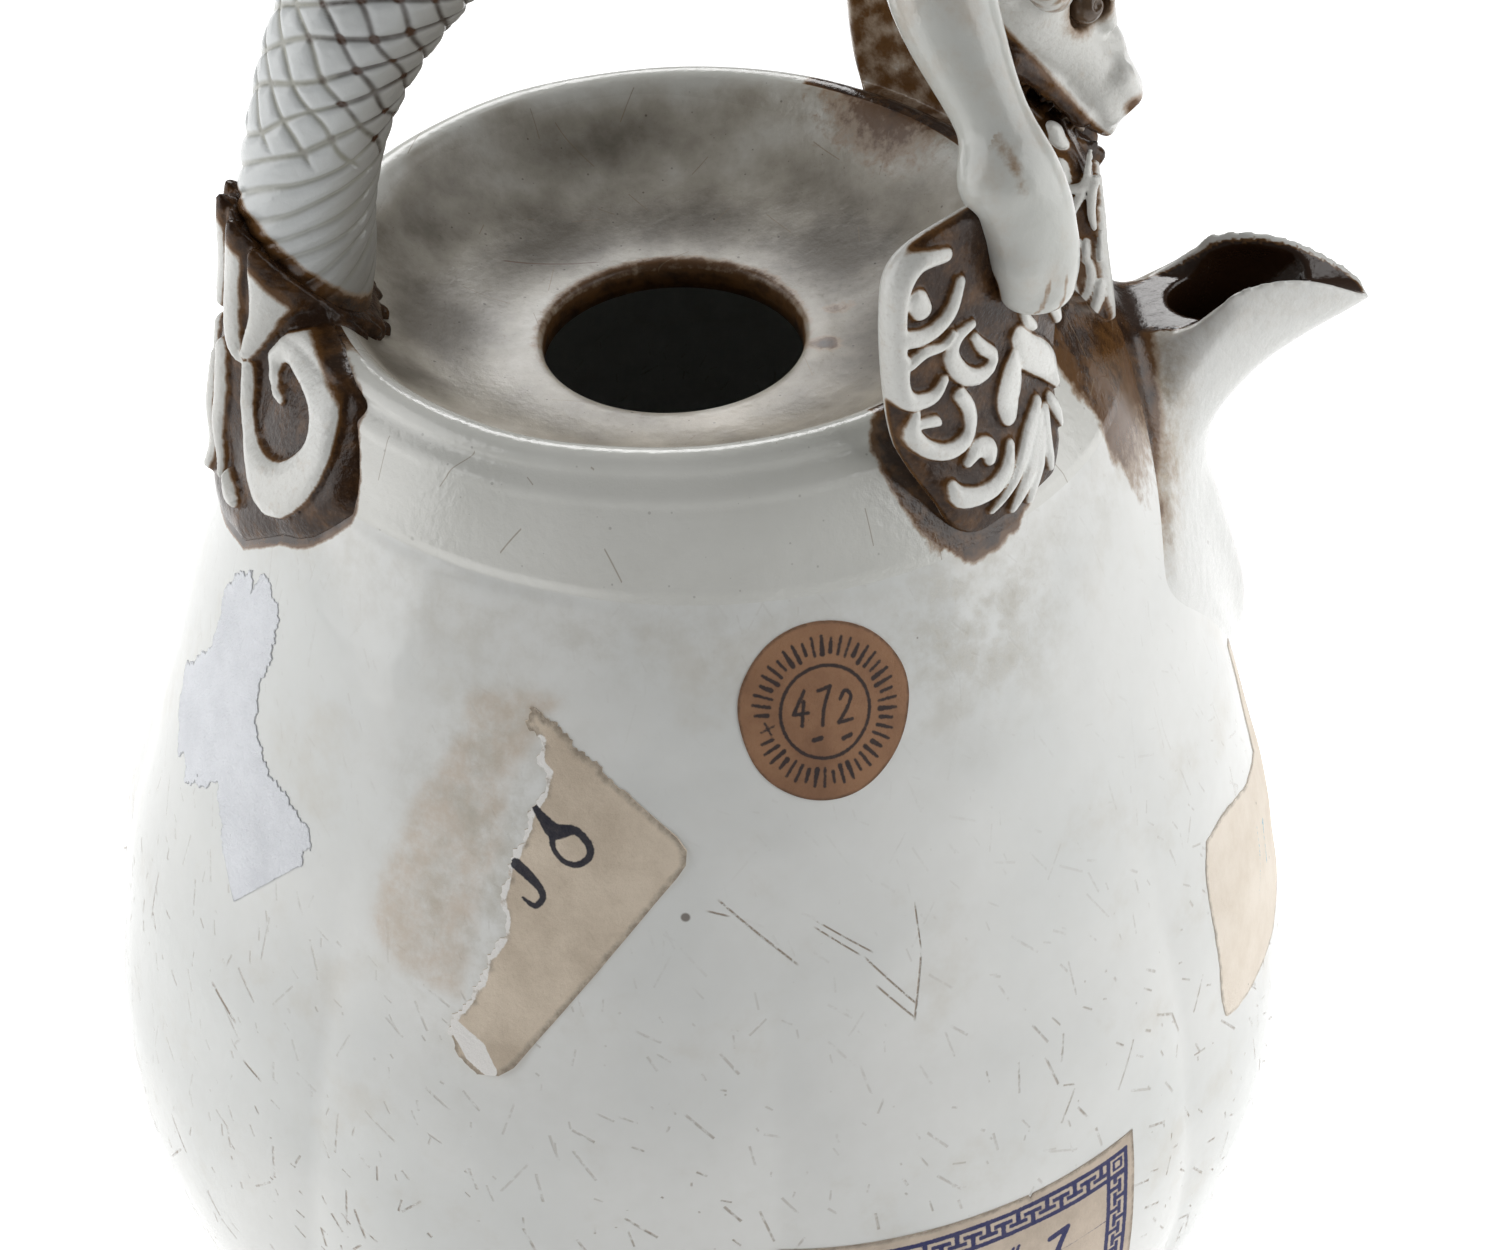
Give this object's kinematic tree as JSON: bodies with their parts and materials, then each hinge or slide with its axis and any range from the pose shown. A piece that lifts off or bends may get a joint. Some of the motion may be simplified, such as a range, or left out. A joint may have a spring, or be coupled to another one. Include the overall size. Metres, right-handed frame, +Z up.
{
  "type": "porcelain ewer",
  "caption": "Glazed porcelain ewer with a lobed ovoid body, a dished mouth with a central filling hole, a beak spout on the shoulder and a bail handle shaped as a dragon.",
  "frame": {"origin": "on the ground at the centre of the outer box seen from above; the body's own axis stands 2.15 mm towards -X of it because the spout reaches past the body on the +X side", "axes": "+Z up, +X from the body's axis along the spout and the dragon's head, -X to the tail, -Y the side with the round label"},
  "size_m": [0.1289, 0.1244, 0.1961],
  "materials": {
    "unglazed_foot": "bare fired clay on the foot's rest face, dry and slightly stained",
    "body_glaze": "cool off-white clear glaze, glossy, with fine brown scratches and specks",
    "dish_glaze": "glossy greyish glaze with grime and specks, brown round the hole",
    "spout_glaze": "glossy off-white glaze with dark stains at the root and inside the beak",
    "scale_glaze": "glossy glaze over incised scales with brown in the lines",
    "limb_glaze": "glossy off-white glaze",
    "relief_glaze": "off-white raised curls on an iron-brown ground, glossy",
    "head_glaze": "glossy off-white glaze with iron-brown in the recesses",
    "iron_brown_glaze": "glossy dark iron-brown",
    "brown_card": "matt brown card with dark printed rings, ticks and plain numerals",
    "cream_paper": "aged cream paper, matt, torn at its edge, with plain pen strokes",
    "white_paper": "torn white paper tape, matt and fibrous",
    "bordered_paper": "aged cream paper with a printed blue fret border and a plain numeral"
  },
  "bodies": {
    "root": {"foot_ring": "unglazed_foot", "lower_body": "body_glaze", "upper_body": "body_glaze", "mouth_dish": "dish_glaze", "spout": "spout_glaze", "handle_body": "scale_glaze", "tail_plaque": "relief_glaze", "near_foreleg": "limb_glaze", "far_foreleg": "limb_glaze", "near_leg_plaque": "relief_glaze", "far_leg_plaque": "relief_glaze", "beard_plaque": "relief_glaze", "dragon_head": "head_glaze", "lower_jaw": "head_glaze", "tongue": "head_glaze", "near_horn": "head_glaze", "far_horn": "head_glaze", "near_ear": "head_glaze", "far_ear": "head_glaze", "near_eye": "iron_brown_glaze", "far_eye": "iron_brown_glaze", "round_label": "brown_card", "torn_label": "cream_paper", "tape_remnant": "white_paper", "side_label": "cream_paper", "bordered_label": "bordered_paper"}
  },
  "joints": []
}
